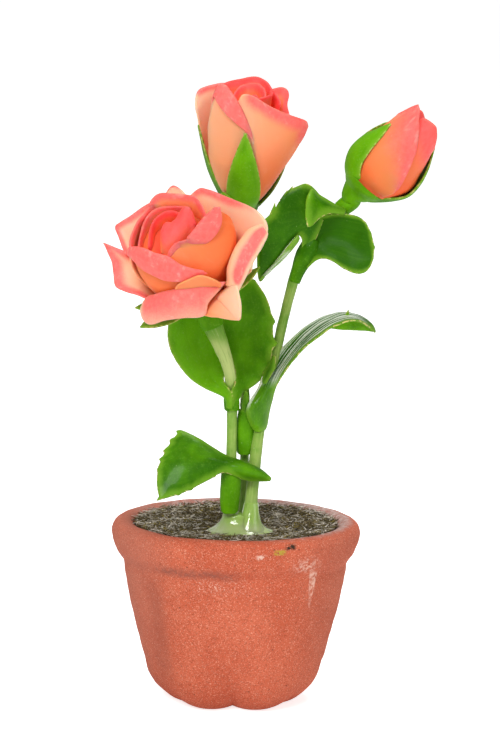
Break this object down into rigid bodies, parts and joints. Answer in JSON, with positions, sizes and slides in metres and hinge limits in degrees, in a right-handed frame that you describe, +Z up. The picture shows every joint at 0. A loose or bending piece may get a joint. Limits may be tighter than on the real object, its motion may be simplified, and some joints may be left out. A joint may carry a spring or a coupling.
{
  "type": "miniature artificial potted rose",
  "caption": "Miniature clay rose plant with an open rose, a half-open rose and a bud on slender stems, standing in a lobed terracotta pot.",
  "frame": {"origin": "centre of the pot's flat underside, where it stands", "axes": "+Z up, +X to the right and -Y towards the viewer when the blooms face the viewer"},
  "size_m": [0.0323, 0.0301, 0.0625],
  "materials": {
    "terracotta": "matt, grainy fired clay",
    "soil": "rough, fibrous",
    "glue": "glossy, cloudy pale green",
    "stem": "satin, pale green",
    "leaf": "glossy, dark green",
    "petal": "satin, peach orange with pink margins"
  },
  "bodies": {
    "root": {"pot": "terracotta", "soil": "soil", "glue_foot": "glue", "stem_left": "stem", "stem_right": "stem", "stem_back": "stem", "leaf_low": "leaf", "leaf_left": "leaf", "leaf_tall": "leaf", "leaf_middle": "leaf", "leaf_arched": "leaf", "leaf_upper_left": "leaf", "leaf_upper_right": "leaf", "leaf_curled": "leaf", "open_rose": "petal", "open_rose_calyx": "leaf", "half_open_rose": "petal", "half_open_rose_calyx": "leaf", "rosebud": "petal", "rosebud_calyx": "leaf"}
  },
  "joints": []
}
